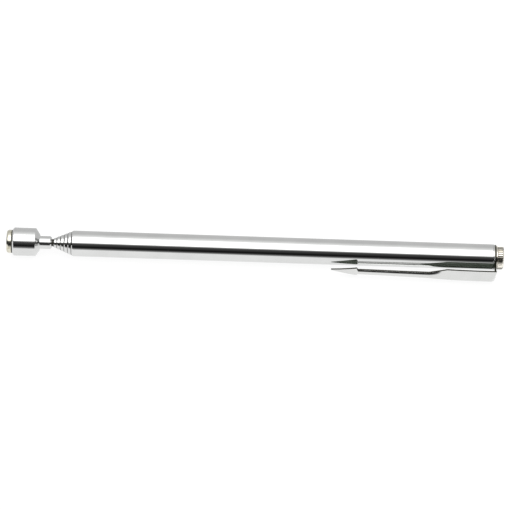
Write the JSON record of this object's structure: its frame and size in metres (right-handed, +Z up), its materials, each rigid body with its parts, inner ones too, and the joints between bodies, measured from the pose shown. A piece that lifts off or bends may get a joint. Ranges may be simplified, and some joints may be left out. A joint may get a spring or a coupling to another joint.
{
  "type": "telescoping magnetic pick-up tool",
  "caption": "Pen-sized chrome pick-up tool: magnet head on a telescoping rod of nested tubes, with an arrow-tipped pocket clip and a knurled end cap.",
  "frame": {"origin": "on the surface the closed tool lies on, under the middle of its box", "axes": "+X along the tool from the magnet to the end cap, +Z up; the clip points to -Y, leaning 11.4 degrees down so that the tool rests on its head and its clip"},
  "size_m": [0.1348, 0.0108, 0.0076],
  "materials": {
    "chrome_plate": "polished chrome plate",
    "clip_plate": "bright plated spring steel",
    "nickel_plate": "bright nickel plate",
    "magnet_nickel": "nickel-plated sintered magnet",
    "bush_brass": "turned brass",
    "spring_bronze": "phosphor bronze strip"
  },
  "bodies": {
    "barrel_body": {"barrel": "chrome_plate", "end_bushing": "chrome_plate", "end_cap": "nickel_plate", "clip_base": "clip_plate"},
    "clip_arm_body": {"clip_arm": "clip_plate"},
    "section_1_body": {"section_1": "chrome_plate", "stop_bush_1": "bush_brass", "friction_spring_1": "spring_bronze"},
    "section_2_body": {"section_2": "chrome_plate", "stop_bush_2": "bush_brass", "friction_spring_2": "spring_bronze"},
    "section_3_body": {"section_3": "chrome_plate", "stop_bush_3": "bush_brass", "friction_spring_3": "spring_bronze"},
    "section_4_body": {"section_4": "chrome_plate", "stop_bush_4": "bush_brass", "friction_spring_4": "spring_bronze"},
    "section_5_body": {"section_5": "chrome_plate", "stop_bush_5": "bush_brass", "friction_spring_5": "spring_bronze"},
    "rod_stop_body": {"stop_bush_6": "bush_brass", "friction_spring_6": "spring_bronze"},
    "rod_body": {"inner_rod": "chrome_plate", "head_cup": "chrome_plate", "magnet": "magnet_nickel"}
  },
  "joints": [
    {"name": "section_1_slide", "type": "slide", "parent": "barrel_body", "child": "section_1_body", "axis": [-1, 0, 0], "range_m": [0, 0.103]},
    {"name": "section_2_slide", "type": "slide", "parent": "section_1_body", "child": "section_2_body", "axis": [-1, 0, 0], "range_m": [0, 0.0974]},
    {"name": "section_3_slide", "type": "slide", "parent": "section_2_body", "child": "section_3_body", "axis": [-1, 0, 0], "range_m": [0, 0.0918]},
    {"name": "section_4_slide", "type": "slide", "parent": "section_3_body", "child": "section_4_body", "axis": [-1, 0, 0], "range_m": [0, 0.0862]},
    {"name": "section_5_slide", "type": "slide", "parent": "section_4_body", "child": "section_5_body", "axis": [-1, 0, 0], "range_m": [0, 0.0806]},
    {"name": "rod_slide", "type": "slide", "parent": "section_5_body", "child": "rod_stop_body", "axis": [-1, 0, 0], "range_m": [0, 0.0749]},
    {"name": "head_swivel", "type": "hinge", "parent": "rod_stop_body", "child": "rod_body", "pos_m": [-0.0674, 0.00155, 0.00382], "axis": [1, 0, 0], "continuous": true},
    {"name": "clip_flex", "type": "hinge", "parent": "barrel_body", "child": "clip_arm_body", "pos_m": [0.0496, -0.00511, 0.00248], "axis": [0, -0.1977, 0.9803], "range_deg": [0, 4], "stiffness_Nm_per_rad": 1.3}
  ]
}
